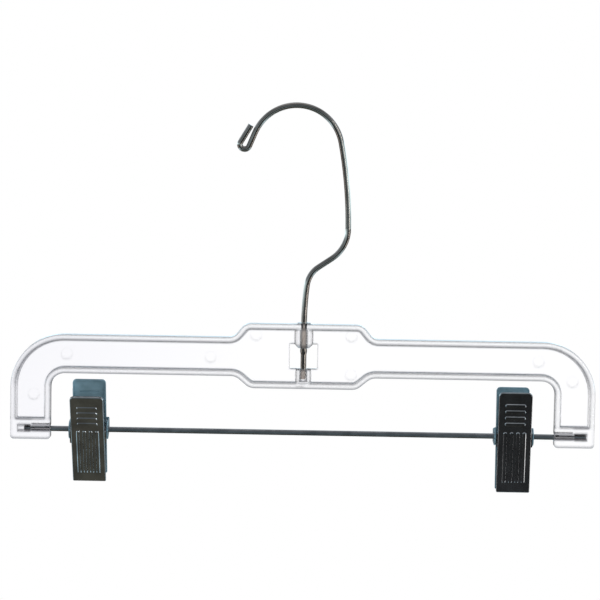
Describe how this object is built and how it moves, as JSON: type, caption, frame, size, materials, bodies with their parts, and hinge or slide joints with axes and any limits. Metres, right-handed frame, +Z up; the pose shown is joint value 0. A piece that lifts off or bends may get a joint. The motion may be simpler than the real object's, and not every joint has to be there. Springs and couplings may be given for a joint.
{
  "type": "clothes hanger",
  "caption": "Clear plastic skirt and trouser hanger with a swivelling wire hook, a steel cross rod and two sprung metal clips that slide on it.",
  "frame": {"origin": "inside of the hook's crown, where the hanging rail bears", "axes": "+X along the cross rod to the right seen from the front, -Y towards the front, +Z up"},
  "size_m": [0.3556, 0.0393, 0.2346],
  "materials": {
    "clear_plastic": "clear, glossy",
    "hook_wire": "plated, bright",
    "rod_steel": "plated, polished",
    "clip_sheet": "plated, polished",
    "sleeve_steel": "plain",
    "spring_steel": "plain"
  },
  "bodies": {
    "hook": {"swivel_hook": "hook_wire"},
    "hanger": {"hanger_body": "clear_plastic"},
    "rod": {"cross_rod": "rod_steel"},
    "left_clip_carriage": {"left_clip_sleeve": "sleeve_steel"},
    "left_clip_back": {"left_clip_back_leaf": "clip_sheet", "left_clip_spring": "spring_steel"},
    "left_clip_front": {"left_clip_front_leaf": "clip_sheet"},
    "right_clip_carriage": {"right_clip_sleeve": "sleeve_steel"},
    "right_clip_back": {"right_clip_back_leaf": "clip_sheet", "right_clip_spring": "spring_steel"},
    "right_clip_front": {"right_clip_front_leaf": "clip_sheet"}
  },
  "joints": [
    {"name": "hook_swivel", "type": "hinge", "parent": "hook", "child": "hanger", "pos_m": [0.00632, 0, -0.13], "axis": [0, 0, 1], "continuous": true},
    {"name": "rod_float", "type": "slide", "parent": "hanger", "child": "rod", "axis": [1, 0, 0], "range_m": [-0.0035, 0]},
    {"name": "left_clip_slide", "type": "slide", "parent": "rod", "child": "left_clip_carriage", "axis": [1, 0, 0], "range_m": [-0.0065, 0.075]},
    {"name": "left_clip_swing", "type": "hinge", "parent": "left_clip_carriage", "child": "left_clip_back", "pos_m": [-0.12378, 0, -0.19732], "axis": [1, 0, 0], "range_deg": [-135, 130]},
    {"name": "left_clip_open", "type": "hinge", "parent": "left_clip_back", "child": "left_clip_front", "pos_m": [-0.12378, 0, -0.19732], "axis": [-1, 0, 0], "range_deg": [0, 36], "stiffness_Nm_per_rad": 0.25, "springref_deg": -45.84, "deforming": ["left_clip_spring"]},
    {"name": "right_clip_slide", "type": "slide", "parent": "rod", "child": "right_clip_carriage", "axis": [1, 0, 0], "range_m": [-0.07, 0.011]},
    {"name": "right_clip_swing", "type": "hinge", "parent": "right_clip_carriage", "child": "right_clip_back", "pos_m": [0.13512, 0, -0.19732], "axis": [1, 0, 0], "range_deg": [-115, 150]},
    {"name": "right_clip_open", "type": "hinge", "parent": "right_clip_back", "child": "right_clip_front", "pos_m": [0.13512, 0, -0.19732], "axis": [-1, 0, 0], "range_deg": [0, 36], "stiffness_Nm_per_rad": 0.25, "springref_deg": -45.84, "deforming": ["right_clip_spring"]}
  ]
}
